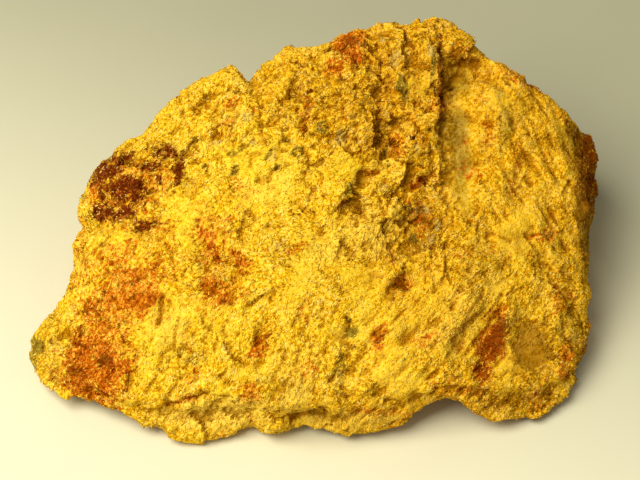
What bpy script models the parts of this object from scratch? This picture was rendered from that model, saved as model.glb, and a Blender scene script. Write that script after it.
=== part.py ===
"""A loose hand specimen of plumbojarosite: one broken lump of earthy yellow crust, in metres, +Z up.

The lump is worked in millimetres in a frame of its own, laid on its broad face: u runs along its
length, v climbs the face and w stands out of the face. The frame is then leaned back, and the lump
rests on the feet below it.
"""

import math

import bmesh
import bpy
import numpy as np
from mathutils import Vector, noise

MM = 0.001
NODE = "plumbojarosite_lump"

# Driving dimensions, in millimetres and degrees. The outline spans the length and height of the face.
FACE_LEAN = math.radians(48)  # how far the broad face's frame leans back from upright
FACE_STAND = 31.0  # from the resting plane's line to the middle of the broad face, along w
FACE_FALL = 0.20  # how much the face sinks for each millimetre up it
HEART = (0.0, 1.8, 20.0)  # a point well inside, from which every part of the surface can be seen
EDGE_ROUND = 1.6  # how softly two broken faces meet
EDGE_PROUD = 0.2  # how far the edge is drawn proud, because the rounding takes it back
SPLITS = 6  # how often the starting ball is split
WORK_GRAIN = 0.8  # spacing of the points that the forms are worked on
KEPT_TRIANGLES = 9600

# The edge of the lump, seen square on to the broad face, clockwise from the nose at its left end.
OUTLINE = (
    (-45.7, -17.2), (-43.4, -13.3), (-40.8, -9.4), (-39.2, -5.5), (-38.9, -2.4), (-39.0, -0.2),
    (-36.2, 1.7), (-38.4, 4.6), (-38.0, 6.9), (-36.4, 10.5), (-34.4, 12.7), (-32.8, 15.2),
    (-29.6, 16.4), (-26.9, 18.2), (-25.3, 20.9), (-23.4, 22.8), (-20.9, 24.4), (-17.0, 26.9),
    (-15.6, 27.7), (-13.9, 28.3), (-12.0, 25.4), (-11.0, 25.0), (-9.1, 27.8), (-6.0, 30.3),
    (-0.8, 30.8), (2.0, 32.1), (4.9, 33.3), (8.0, 34.5), (10.8, 35.0), (13.1, 34.7),
    (16.0, 34.8), (18.2, 36.3), (19.7, 36.3), (22.8, 34.4), (25.2, 32.0), (27.6, 29.6),
    (30.2, 28.4), (32.9, 26.4), (35.4, 24.8), (38.6, 24.2), (43.1, 21.2), (45.5, 16.8),
    (46.8, 14.0), (50.5, 11.5), (47.4, 8.2), (45.6, 4.1), (43.9, -3.3), (43.3, -7.3),
    (42.9, -12.9), (42.8, -16.1), (41.4, -20.3), (39.7, -23.6), (37.6, -26.7), (34.6, -29.0),
    (30.0, -29.4), (26.2, -28.9), (22.9, -26.7), (21.0, -24.6), (19.3, -24.3), (17.0, -25.0),
    (14.8, -26.6), (13.6, -28.6), (10.6, -30.0), (6.0, -31.3), (3.6, -31.2), (0.6, -29.9),
    (-1.8, -29.6), (-4.7, -30.3), (-8.0, -31.2), (-10.8, -29.6), (-13.0, -30.7), (-16.4, -31.9),
    (-20.5, -32.2), (-23.2, -31.2), (-25.3, -29.5), (-28.6, -29.0), (-30.8, -27.4), (-34.8, -26.0),
    (-36.4, -25.2), (-38.4, -24.3), (-40.3, -25.5), (-41.4, -25.0), (-43.0, -23.4),
    (-44.9, -21.5), (-45.6, -18.8),
)

# The ledge along the foot of the face: u, the v of its lip, and how high the lower edge hangs there.
LEDGE = (
    (-46.0, -19.4, 2.6), (-42.0, -20.4, 2.3), (-38.0, -22.0, 2.8), (-30.0, -24.5, 2.8), (-24.0, -25.4, 0.9),
    (-20.0, -25.2, 0.3), (-14.0, -24.4, 0.8), (-9.0, -24.5, 0.6), (-2.0, -25.8, 1.8), (5.0, -25.5, 0.5),
    (11.0, -24.2, 1.2), (16.0, -23.4, 3.4), (20.0, -23.0, 6.0), (25.0, -22.6, 3.0), (31.0, -23.2, 0.6),
    (36.0, -22.0, 0.4), (40.0, -20.0, 2.0), (44.0, -15.0, 5.0),
)

# Steps of the face: start, end, drop on the right hand of that line, softness, and the drop's reach.
STEPS = (
    ((19.0, 8.0), (19.2, 30.5), 2.1, 0.4, 6.0),  # the long upright step over the worn trough
    ((19.6, 28.4), (27.5, 28.2), 2.4, 0.5, 5.5),  # the lip that roofs the trough
    ((1.8, 4.0), (5.9, 7.8), 1.5, 0.5, 3.4),  # the slanting cleft near the middle
    ((5.6, 7.2), (6.4, 11.0), 1.0, 0.5, 3.0),
    ((6.0, 10.9), (9.8, 10.6), 0.9, 0.4, 2.8),
    ((13.2, 9.8), (17.4, 8.6), 1.1, 0.4, 2.6),
    ((1.6, -29.0), (2.4, -15.0), 1.5, 0.9, 5.0),  # the upright rib at the foot
    ((30.4, -21.5), (30.0, -9.5), 0.9, 0.7, 5.5),  # the rib beside the rust hollow
    ((43.6, -6.0), (43.4, 12.0), 7.5, 4.6, 16.0),  # the steep right side
    ((43.4, 9.0), (40.0, 22.5), 6.5, 4.6, 12.0),
    ((-19.5, 3.6), (-15.2, -3.6), 1.1, 0.4, 3.0),  # two small slanting steps left of the middle
    ((-14.6, 0.6), (-11.0, -5.2), 0.9, 0.4, 2.6),
    ((-10.8, -10.0), (-7.2, -8.2), 0.5, 0.4, 2.2),
    ((23.2, -20.5), (25.6, -12.5), 0.7, 0.8, 4.0),
    ((8.2, 11.0), (9.6, 25.0), 0.5, 1.6, 3.5),
    ((12.6, -6.0), (13.4, 6.0), 1.0, 0.8, 3.5),
)

# The worn trough right of the long step: its middle u and v, half width and half length.
TROUGH = (23.2, 14.0, 3.4, 12.0)

# Ridges, and furrows where the height is below nought: start, end, height, half width.
RIDGES = (
    ((10.6, 25.0), (11.6, 12.0), -0.7, 1.7),
    ((11.6, 12.0), (13.2, -2.0), -1.0, 1.7),
    ((17.2, 31.5), (17.8, 16.0), 0.8, 1.0),
    ((10.4, -7.2), (13.8, -7.4), -1.0, 1.0),
    ((5.5, -24.5), (13.5, -16.5), 1.2, 1.5),
    ((11.5, -22.5), (20.5, -12.5), 1.4, 1.6),
    ((17.5, -20.0), (24.0, -8.5), 1.3, 1.6),
    ((26.5, 25.0), (30.8, 11.0), 1.1, 1.3),
    ((30.5, 23.5), (37.0, 7.5), 1.0, 1.3),
    ((34.5, 21.0), (39.6, 10.0), 0.9, 1.2),
    ((27.0, 13.0), (32.0, 1.0), 0.9, 1.2),
    ((33.2, 8.0), (38.4, -6.0), 0.9, 1.3),
    ((28.5, 0.6), (37.0, 0.0), -0.9, 0.8),
    ((-40.4, -10.0), (-39.3, -19.5), -1.3, 1.6),
    ((-24.0, -8.6), (-25.6, -13.4), -0.9, 0.8),
    ((-22.4, -11.0), (-19.4, -18.0), 0.5, 1.2),
    ((-18.6, -10.6), (-15.4, -18.0), 0.3, 1.2),
    ((36.0, -6.0), (38.6, -18.0), 0.9, 1.3),
)

# Mounds, and hollows where the height is below nought: centre, half sizes along u and v, turn, height.
MOUNDS = (
    ((-33.2, 8.4), 4.6, 3.2, 70, 1.2),  # the dark crust's knobs, up on the left
    ((-34.6, 3.9), 2.4, 1.7, 10, 0.9),
    ((-27.4, 3.2), 2.6, 1.6, 30, 0.8),
    ((-25.6, 13.8), 2.6, 1.8, 0, 0.9),
    ((-21.9, 11.6), 1.3, 2.6, 0, 0.7),
    ((-42.6, -17.0), 3.4, 5.4, 0, 2.2),  # the pale nose
    ((15.6, 3.2), 3.4, 6.5, 0, -1.4),  # the hollow right of the cleft
    ((2.8, 9.0), 2.2, 2.9, 30, 0.9),  # the knob over the cleft
    ((12.6, -4.6), 1.7, 1.5, 0, 1.3),
    ((17.4, -1.6), 1.5, 2.6, 0, 0.9),
    ((26.8, -16.8), 2.6, 5.2, -18, -0.7),  # the rust hollow
    ((33.4, -16.0), 2.8, 6.5, 0, -0.6),
    ((23.2, 14.0), 3.2, 11.0, 0, -1.2),  # the worn trough
    ((24.9, 17.5), 1.1, 6.0, 4, 1.1),
    ((4.4, -14.6), 1.6, 1.6, 0, -0.8),
    ((-9.4, -16.4), 3.4, 2.6, 35, -0.6),
    ((-16.8, -27.2), 6.0, 2.0, 4, -1.5),  # two hollows under the ledge
    ((-2.6, -28.0), 3.0, 1.6, 0, -2.2),
    ((11.0, -27.2), 6.5, 1.6, 8, 0.9),
    ((-4.0, 13.6), 5.5, 4.0, 20, 1.0),  # swells of the broad face
    ((-22.0, -3.0), 9.0, 6.0, 60, 1.2),
    ((-31.5, -15.0), 6.0, 8.0, 0, 0.9),
    ((-14.5, 18.5), 7.0, 4.0, 25, 0.9),
    ((14.2, 20.0), 2.8, 7.0, 0, 1.2),
    ((3.6, 26.0), 3.5, 6.0, 0, 0.8),
    ((-5.0, -6.0), 8.0, 4.0, 10, 0.8),
    ((22.5, -4.0), 5.0, 5.0, 0, 0.9),
)

# Broken planes of the back and the sides, in the resting frame: the way each faces, and its distance.
PLANES = (
    ((0.10, 0.86, 0.50), 35.0),
    ((-0.46, 0.74, 0.48), 31.0),
    ((0.58, 0.70, 0.42), 38.5),
    ((0.05, 0.99, -0.12), 20.0),
    ((-0.93, 0.30, -0.22), 34.5),
    ((0.94, 0.18, -0.30), 40.0),
    ((-0.70, -0.42, -0.58), 43.0),
    ((0.62, 0.52, -0.59), 31.0),
)

# The feet that the lump stands on: centre in the resting plane, and two half sizes.
FEET = (
    ((-15.5, -33.0), (7.0, 6.0)),
    ((30.0, -27.5), (6.5, 7.0)),
    ((0.0, 5.0), (11.0, 7.0)),
)
FOOT_LIFT = 1.3  # how far the rest of the underside clears the resting plane, on average


def rounded_max(first, second, softness):
    """The larger of two fields, with the corner between them rounded off."""
    share = np.clip(0.5 + 0.5 * (first - second) / softness, 0.0, 1.0)
    return second + (first - second) * share + softness * share * (1.0 - share)


def eased(value):
    """A smooth rise from nought to one."""
    value = np.clip(value, 0.0, 1.0)
    return value * value * (3.0 - 2.0 * value)


def rest_coordinates(u, v, w):
    """Leans the working frame back: gives X, Y and Z above the resting plane."""
    rise, run = math.cos(FACE_LEAN), math.sin(FACE_LEAN)
    return u, v * run - w * rise, v * rise + w * run


def to_line(u, v, start, end):
    """The distance to a straight stretch, how far right of its line, and how near its ends are."""
    along_u, along_v = end[0] - start[0], end[1] - start[1]
    length = math.hypot(along_u, along_v)
    share = ((u - start[0]) * along_u + (v - start[1]) * along_v) / length ** 2
    held = np.clip(share, 0.0, 1.0)
    away = np.hypot(u - start[0] - held * along_u, v - start[1] - held * along_v)
    right = ((u - start[0]) * along_v - (v - start[1]) * along_u) / length
    fade = eased(0.35 + 4.0 * share) * eased(0.35 + 4.0 * (1.0 - share))
    return away, right, fade


def wandered(u, v):
    """Shifts each point a little, so that no step or ridge runs dead straight."""
    shift_u = 0.55 * np.sin(v * 0.83 + 1.1) + 0.40 * np.sin(v * 1.71 + u * 0.37)
    shift_v = 0.50 * np.sin(u * 0.77 - 0.6) + 0.38 * np.sin(u * 1.63 - v * 0.41)
    shift_u = shift_u + 0.22 * np.sin(v * 3.3 - u * 0.9)
    shift_v = shift_v + 0.22 * np.sin(u * 3.1 + v * 1.2)
    return u + shift_u, v + shift_v


def outline_table():
    """The outline's distance from the heart all the way round, as it is and with its notches filled."""
    angles = np.array([math.atan2(v - HEART[1], u - HEART[0]) for u, v in OUTLINE])
    distances = np.array([math.hypot(u - HEART[0], v - HEART[1]) for u, v in OUTLINE])
    order = np.argsort(angles)
    around = np.radians(np.arange(-180.0, 180.0, 0.5))
    sharp = np.interp(around, angles[order], distances[order], period=2.0 * math.pi)
    soft = sum(np.roll(sharp, shift) for shift in range(-16, 17)) / 33.0
    return around, sharp, soft


OUTLINE_TABLE = outline_table()


def edge_reach(u, v, behind=None):
    """How far the outline lies beyond each point; well behind the rim its notches have closed."""
    around, sharp, soft = OUTLINE_TABLE
    angle = np.arctan2(v - HEART[1], u - HEART[0])
    reach = np.interp(angle, around, sharp, period=2.0 * math.pi)
    if behind is not None:
        filled = np.interp(angle, around, soft, period=2.0 * math.pi)
        reach = reach + (filled - reach) * eased((behind - 1.0) / 9.0)
    return reach + EDGE_PROUD - np.hypot(u - HEART[0], v - HEART[1])


def broad_face(u, v):
    """The face without its details: a slope, arched from end to end."""
    arch = np.where(u < 0.0, 0.0050, 0.0058) * u * u
    return FACE_STAND - FACE_FALL * v - arch - 0.0022 * np.maximum(v, 0.0) ** 2


def lower_edge(u):
    """Where the lump's lower edge runs, as v, and how high it hangs above the resting plane."""
    low = sorted(point for point in OUTLINE if point[1] < -18.0)
    edge = np.interp(u, [point[0] for point in low], [point[1] for point in low])
    return edge, np.interp(u, [row[0] for row in LEDGE], [row[2] for row in LEDGE])


def foot_band(u, v, face):
    """Below the ledge, the face turns down to the lump's lower edge."""
    edge, hang = lower_edge(u)
    edge = edge - EDGE_PROUD
    lip = np.interp(u, [row[0] for row in LEDGE], [row[1] for row in LEDGE])
    lip_w = broad_face(u, lip)
    edge_w = (hang - edge * math.cos(FACE_LEAN)) / math.sin(FACE_LEAN)
    share = np.clip((lip - v) / np.maximum(lip - edge, 0.8), 0.0, 1.4)
    sunk = lip_w - (lip_w - edge_w) * share ** 1.2 - 1.1 * np.exp(-((share - 0.3) / 0.22) ** 2)
    return np.where(v < lip, np.minimum(sunk, face), face)


def face_height(u, v):
    """The whole broad face, with its ledge, steps, ridges and mounds, as a height w over each u and v."""
    face = foot_band(u, v, broad_face(u, v))
    edge = edge_reach(u, v)
    u, v = wandered(u, v)
    for start, end, drop, softness, reach in STEPS:
        away, right, fade = to_line(u, v, start, end)
        face = face - drop * fade * eased(right / softness + 0.5) * np.exp(-(away / reach) ** 2)
    for start, end, height, half_width in RIDGES:
        away, right, fade = to_line(u, v, start, end)
        face = face + height * fade * np.exp(-(away / half_width) ** 2)
    for centre, half_u, half_v, turn, height in MOUNDS:
        cos, sin = math.cos(math.radians(turn)), math.sin(math.radians(turn))
        long_way = ((u - centre[0]) * cos + (v - centre[1]) * sin) / half_u
        short_way = ((v - centre[1]) * cos - (u - centre[0]) * sin) / half_v
        face = face + height * np.exp(-(long_way ** 2 + short_way ** 2))
    rounding = 3.4 * eased((v + 19.0) / 8.0)
    return face - rounding * np.exp(-np.maximum(edge, 0.0) / 2.0)


def underside(x, y):
    """How far the underside clears the resting plane: nought on the feet."""
    waves = np.sin(x * 0.23 + 0.9) * np.cos(y * 0.19 - 0.4) + 0.6 * np.sin(x * 0.41 - y * 0.35)
    lift = FOOT_LIFT + 0.7 * waves
    lift = lift + 5.5 * np.exp(-((x - 20.0) / 5.0) ** 2) * eased((-26.0 - y) / 10.0)
    lift = lift + 3.2 * eased((-26.0 - x) / 12.0)
    edge, hang = lower_edge(x)
    behind_edge = y - (edge - hang * math.cos(FACE_LEAN)) / math.sin(FACE_LEAN)
    lift = np.minimum(lift, 0.7 * hang + 0.3 * np.maximum(behind_edge, 0.0))
    foot = np.zeros_like(x)
    for (centre_x, centre_y), (half_x, half_y) in FEET:
        away = np.hypot((x - centre_x) / half_x, (y - centre_y) / half_y)
        foot = np.maximum(foot, 1.0 - eased((away - 1.0) / 0.7))
    return np.maximum(lift, 0.25) * (1.0 - foot)


def outside(u, v, w):
    """Below nought inside the lump, above nought outside it."""
    x, y, z = rest_coordinates(u, v, w)
    face = face_height(u, v)
    behind = np.maximum(broad_face(u, v) - 5.0 - w, 0.0)
    reach = edge_reach(u, v, behind)
    field = rounded_max(w - face, 0.22 * behind - reach, EDGE_ROUND)
    for normal, distance in PLANES:
        field = rounded_max(field, normal[0] * x + normal[1] * y + normal[2] * z - distance, EDGE_ROUND)
    return np.maximum(field, underside(x, y) - z)


def ball_directions():
    """The directions and the faces of a finely split ball."""
    work = bmesh.new()
    bmesh.ops.create_icosphere(work, subdivisions=SPLITS, radius=1.0)
    directions = np.array([vert.co[:] for vert in work.verts])
    faces = [[vert.index for vert in face.verts] for face in work.faces]
    work.free()
    return directions / np.linalg.norm(directions, axis=1)[:, None], faces


def reach_surface(directions):
    """How far each direction runs from the heart before it leaves the lump."""
    near, far = np.full(len(directions), 2.0), np.full(len(directions), 75.0)
    for halving in range(14):
        middle = 0.5 * (near + far)
        point = np.array(HEART) + directions * middle[:, None]
        inside = outside(point[:, 0], point[:, 1], point[:, 2]) < 0.0
        near, far = np.where(inside, middle, near), np.where(inside, far, middle)
    return near


def roughness_of(points):
    """The lumps and small broken faces all over, weaker on the even left and in the worn trough."""
    rough = np.empty(len(points))
    u, v, w = points.T
    trough = np.exp(-((u - TROUGH[0]) / TROUGH[2]) ** 2 - ((v - TROUGH[1]) / TROUGH[3]) ** 2)
    strength = (0.8 + 0.2 * eased((u + 12.0) / 24.0)) * (1.0 - 0.7 * trough)
    for index, point in enumerate(points):
        here = Vector(point)
        cells = noise.voronoi(here / 5.2)[0]
        rough[index] = (
            0.9 * noise.noise(here / 9.0)
            + 0.8 * min(cells[1] - cells[0], 0.5)
            + 0.5 * noise.noise(here / 3.1)
        )
    return (rough - 0.25) * strength


def result_of(holder):
    """The mesh that an object's modifiers make; the object itself goes."""
    made = holder.evaluated_get(bpy.context.evaluated_depsgraph_get())
    mesh = bpy.data.meshes.new_from_object(made)
    bpy.data.objects.remove(holder, do_unlink=True)
    return mesh


def evened(mesh):
    """Spreads the points evenly over the surface, one to each small cell of space."""
    holder = bpy.data.objects.new("evened", mesh)
    bpy.context.scene.collection.objects.link(holder)
    remesh = holder.modifiers.new("even", "REMESH")
    remesh.mode = "VOXEL"
    remesh.voxel_size = WORK_GRAIN
    return result_of(holder)


def drawn_on(points):
    """Moves points along the slope of the field until they lie on the lump's broken surface."""
    rough = None
    for pass_number in range(4):
        here = outside(*points.T)
        slope = np.empty_like(points)
        for axis in range(3):
            nudge = np.zeros(3)
            nudge[axis] = 0.15
            slope[:, axis] = (outside(*(points + nudge).T) - outside(*(points - nudge).T)) / 0.3
        steep = np.maximum(np.linalg.norm(slope, axis=1), 0.6)
        clearance = rest_coordinates(*points.T)[2]
        if rough is None or pass_number == 2:
            rough = roughness_of(points) * eased(clearance / 3.0)
        step = np.clip((here / steep - rough) / steep, -1.2, 1.2)
        points = points - slope * step[:, None]
    return points


def points_of(mesh):
    """The mesh's points as an array."""
    points = np.empty(3 * len(mesh.vertices))
    mesh.vertices.foreach_get("co", points)
    return points.reshape(-1, 3)


def lump_mesh():
    """Builds the closed surface in the resting frame, in millimetres, flat below where it stands."""
    directions, faces = ball_directions()
    first = np.array(HEART) + directions * reach_surface(directions)[:, None]
    rough_out = bpy.data.meshes.new("first")
    rough_out.from_pydata(first.tolist(), [], faces)
    mesh = evened(rough_out)
    points = drawn_on(points_of(mesh))
    x, y, z = rest_coordinates(*points.T)
    z = np.where(z < 0.12, 0.0, z)
    mesh.vertices.foreach_set("co", np.stack([x, y, z], axis=1).ravel())
    mesh.update()
    return mesh


def thinned(mesh):
    """Keeps the wanted number of triangles, sets the feet flat and centres the base on the origin."""
    holder = bpy.data.objects.new("whole_lump", mesh)
    bpy.context.scene.collection.objects.link(holder)
    decimate = holder.modifiers.new("thin", "DECIMATE")
    decimate.ratio = KEPT_TRIANGLES / (2 * len(mesh.polygons))
    kept = result_of(holder)
    points = points_of(kept)
    points[:, 2] = np.where(points[:, 2] < 0.12, 0.0, points[:, 2])
    points[:, :2] -= 0.5 * (points[:, :2].max(axis=0) + points[:, :2].min(axis=0))
    kept.vertices.foreach_set("co", (points * MM).ravel())
    kept.update()
    return kept


def crust_material():
    """The earthy yellow of the mineral, dull all over."""
    material = bpy.data.materials.new("yellow_crust")
    material.use_nodes = True
    shader = material.node_tree.nodes["Principled BSDF"]
    shader.inputs["Base Color"].default_value = (0.62, 0.36, 0.05, 1.0)
    shader.inputs["Roughness"].default_value = 0.9
    shader.inputs["Metallic"].default_value = 0.0
    return material


def build():
    """Makes the specimen's only body."""
    for old in list(bpy.data.objects):
        bpy.data.objects.remove(old, do_unlink=True)
    mesh = thinned(lump_mesh())
    mesh.name = NODE
    mesh.materials.append(crust_material())
    lump = bpy.data.objects.new(NODE, mesh)
    bpy.context.scene.collection.objects.link(lump)


build()
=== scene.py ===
"""Dresses the plumbojarosite lump: fine relief, crystals and stains, on a pale studio floor."""
import math

import bmesh
import bpy
import numpy as np
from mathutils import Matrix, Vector


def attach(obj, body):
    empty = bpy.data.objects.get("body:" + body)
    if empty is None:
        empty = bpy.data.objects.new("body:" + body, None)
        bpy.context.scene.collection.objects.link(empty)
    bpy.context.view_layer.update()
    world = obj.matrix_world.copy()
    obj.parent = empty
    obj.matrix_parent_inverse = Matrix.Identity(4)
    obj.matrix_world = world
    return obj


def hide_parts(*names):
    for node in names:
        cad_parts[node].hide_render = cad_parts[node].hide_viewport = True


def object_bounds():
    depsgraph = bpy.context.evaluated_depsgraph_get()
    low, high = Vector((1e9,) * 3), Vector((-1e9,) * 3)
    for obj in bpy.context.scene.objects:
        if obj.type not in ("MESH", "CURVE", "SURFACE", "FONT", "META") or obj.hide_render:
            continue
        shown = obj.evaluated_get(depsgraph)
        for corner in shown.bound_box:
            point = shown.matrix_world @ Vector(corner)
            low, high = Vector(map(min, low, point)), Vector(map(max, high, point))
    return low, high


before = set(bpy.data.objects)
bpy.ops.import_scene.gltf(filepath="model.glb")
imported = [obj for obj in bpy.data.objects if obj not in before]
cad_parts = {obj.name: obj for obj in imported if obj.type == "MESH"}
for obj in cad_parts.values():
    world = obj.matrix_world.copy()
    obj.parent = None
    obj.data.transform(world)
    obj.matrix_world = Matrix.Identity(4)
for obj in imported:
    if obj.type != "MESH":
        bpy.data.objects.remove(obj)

MM = 0.001
NODE = "plumbojarosite_lump"
CAD_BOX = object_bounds()

# The broad face's own frame, in millimetres: u along the lump, v up the face, w out of the face.
FACE_LEAN = math.radians(48)
MIDDLE = (-0.11, -10.57)  # how far the row's origin lies from the face frame's origin, in X and Y
UP_V, OUT_W = math.cos(FACE_LEAN), math.sin(FACE_LEAN)

# The skin, in millimetres
SKIN_CELL = 0.455  # spacing of the skin's points
SMOOTHING_ROUNDS = 3  # how often the points are averaged, to take the solid's facets away
SKIN_SUNK = 0.10  # how deep the skin lies in the solid where it has no relief
FOOT_FADE = 1.5  # up to this height the relief fades out, so that the lump stands as the solid does
HOLLOW_SHADE_WIDTHS = {3: 1.7, 16: 0.8}  # how wide hollows are looked for, in points, and how much each width counts; their depth is painted into the colour as shade

SEED = 41

# The crystals: their piece, seed, number, shortest and longest, and how far they stand out of the skin
# for each millimetre of length
CRYSTALS = (
    ("shards", SEED, 3000, (0.9, 1.7), -0.16),
    ("grains_coarse", SEED + 1, 33000, (0.46, 1.10), 0.0),
    ("grains_fine", SEED + 2, 33000, (0.28, 0.64), 0.05),
    ("grains_filling", SEED + 3, 33000, (0.34, 0.84), 0.02),
)


# Arrays and noise

def face_coordinates(points):
    """Turns points in the row's frame, in millimetres, into u, v and w."""
    x, y, z = points[:, 0] + MIDDLE[0], points[:, 1] + MIDDLE[1], points[:, 2]
    return np.stack([x, y * OUT_W + z * UP_V, z * OUT_W - y * UP_V], axis=1)


def facing_of(normals):
    """How squarely each direction of the row's frame points out of the broad face: one when squarely."""
    return normals[:, 2] * OUT_W - normals[:, 1] * UP_V


def eased(value):
    """A smooth rise from nought to one."""
    value = np.clip(value, 0.0, 1.0)
    return value * value * (3.0 - 2.0 * value)


def scrambled(cell, seed):
    """A fixed number from nought to one for each whole-number cell of space."""
    value = cell[..., 0] * 374761393 + cell[..., 1] * 668265263 + cell[..., 2] * 982451653
    value = (value + seed * 40503) & 0xFFFFFFFF
    value = ((value ^ (value >> 13)) * 1274126177) & 0xFFFFFFFF
    return (value ^ (value >> 16)) / 4294967295.0


# Turned axes for each layer of noise, so that no cells line up with the frame
TURNS = [np.linalg.qr(np.random.default_rng(k).normal(size=(3, 3)))[0] for k in range(24)]


def turned_cells(points, size, turn):
    """Points in turned cells of that size, and the cell that each one is in."""
    place = points @ TURNS[turn % len(TURNS)] / size + 100.0
    return place, np.floor(place).astype(np.int64)


def soft_noise(points, size, seed):
    """Smooth noise from minus one to one, with lumps about as big as size."""
    place, cell = turned_cells(points, size, seed)
    part = eased(place - cell)
    total = 0.0
    for corner in np.ndindex(2, 2, 2):
        corner = np.array(corner)
        share = np.prod(np.where(corner == 1, part, 1.0 - part), axis=1)
        total = total + share * scrambled(cell + corner, seed)
    return 2.0 * total - 1.0


def layered_noise(points, size, seed, layers=3):
    """Noise with finer noise on it."""
    total, height = 0.0, 1.0
    for layer in range(layers):
        total = total + height * soft_noise(points, size / 2.0 ** layer, seed + layer)
        height *= 0.5
    return total


def crumbs(points, size, seed):
    """For crumbs of about that size: how far off the nearest one's middle is, and that crumb's number."""
    place, cell = turned_cells(points, size, seed + 5)
    nearest = np.full(len(points), 9.0)
    number = np.zeros(len(points))
    for step in np.ndindex(3, 3, 3):
        here = cell + np.array(step) - 1
        middle = here + np.stack([scrambled(here, seed + k) for k in (1, 2, 3)], axis=1)
        away = np.linalg.norm(place - middle, axis=1)
        closer = away < nearest
        number = np.where(closer, scrambled(here, seed + 4), number)
        nearest = np.where(closer, away, nearest)
    return nearest, number


def facets(points, size, seed, tilt):
    """Small broken planes of about that size, each tilted its own way, as a height in millimetres."""
    place, cell = turned_cells(points, size, seed + 5)
    nearest = np.full(len(points), 9.0)
    height = np.zeros(len(points))
    for step in np.ndindex(3, 3, 3):
        here = cell + np.array(step) - 1
        offset = place - here - np.stack([scrambled(here, seed + k) for k in (1, 2, 3)], axis=1)
        lean = np.stack([scrambled(here, seed + k) for k in (5, 6, 7)], axis=1) - 0.5
        away = np.linalg.norm(offset, axis=1)
        closer = away < nearest
        height = np.where(closer, 2.0 * tilt * size * np.sum(lean * offset, axis=1), height)
        nearest = np.where(closer, away, nearest)
    return height


def stretched(points, along, long_way, short_way):
    """Coordinates stretched along a direction of the face, for grooves and fibres that run that way."""
    angle = math.radians(along)
    a = points[:, 0] * math.cos(angle) + points[:, 1] * math.sin(angle)
    b = points[:, 1] * math.cos(angle) - points[:, 0] * math.sin(angle)
    return np.stack([a / long_way, b / short_way, points[:, 2] / (2.0 * short_way)], axis=1)


def oval(points, centre, half_sizes, turn=0.0):
    """Nought at the middle of an oval on the face, one on its edge."""
    angle = math.radians(turn)
    u, v = points[:, 0] - centre[0], points[:, 1] - centre[1]
    a = (u * math.cos(angle) + v * math.sin(angle)) / half_sizes[0]
    b = (v * math.cos(angle) - u * math.sin(angle)) / half_sizes[1]
    return np.hypot(a, b)


def stretch_away(points, start, end):
    """The distance from a straight stretch of the face."""
    along = np.array(end) - np.array(start)
    held = np.clip((points[:, :2] - np.array(start)) @ along / (along @ along), 0.0, 1.0)
    return np.linalg.norm(points[:, :2] - np.array(start) - held[:, None] * along, axis=1)


# What lies where on the broad face: centre u and v, half sizes, turn in degrees, strength

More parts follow.
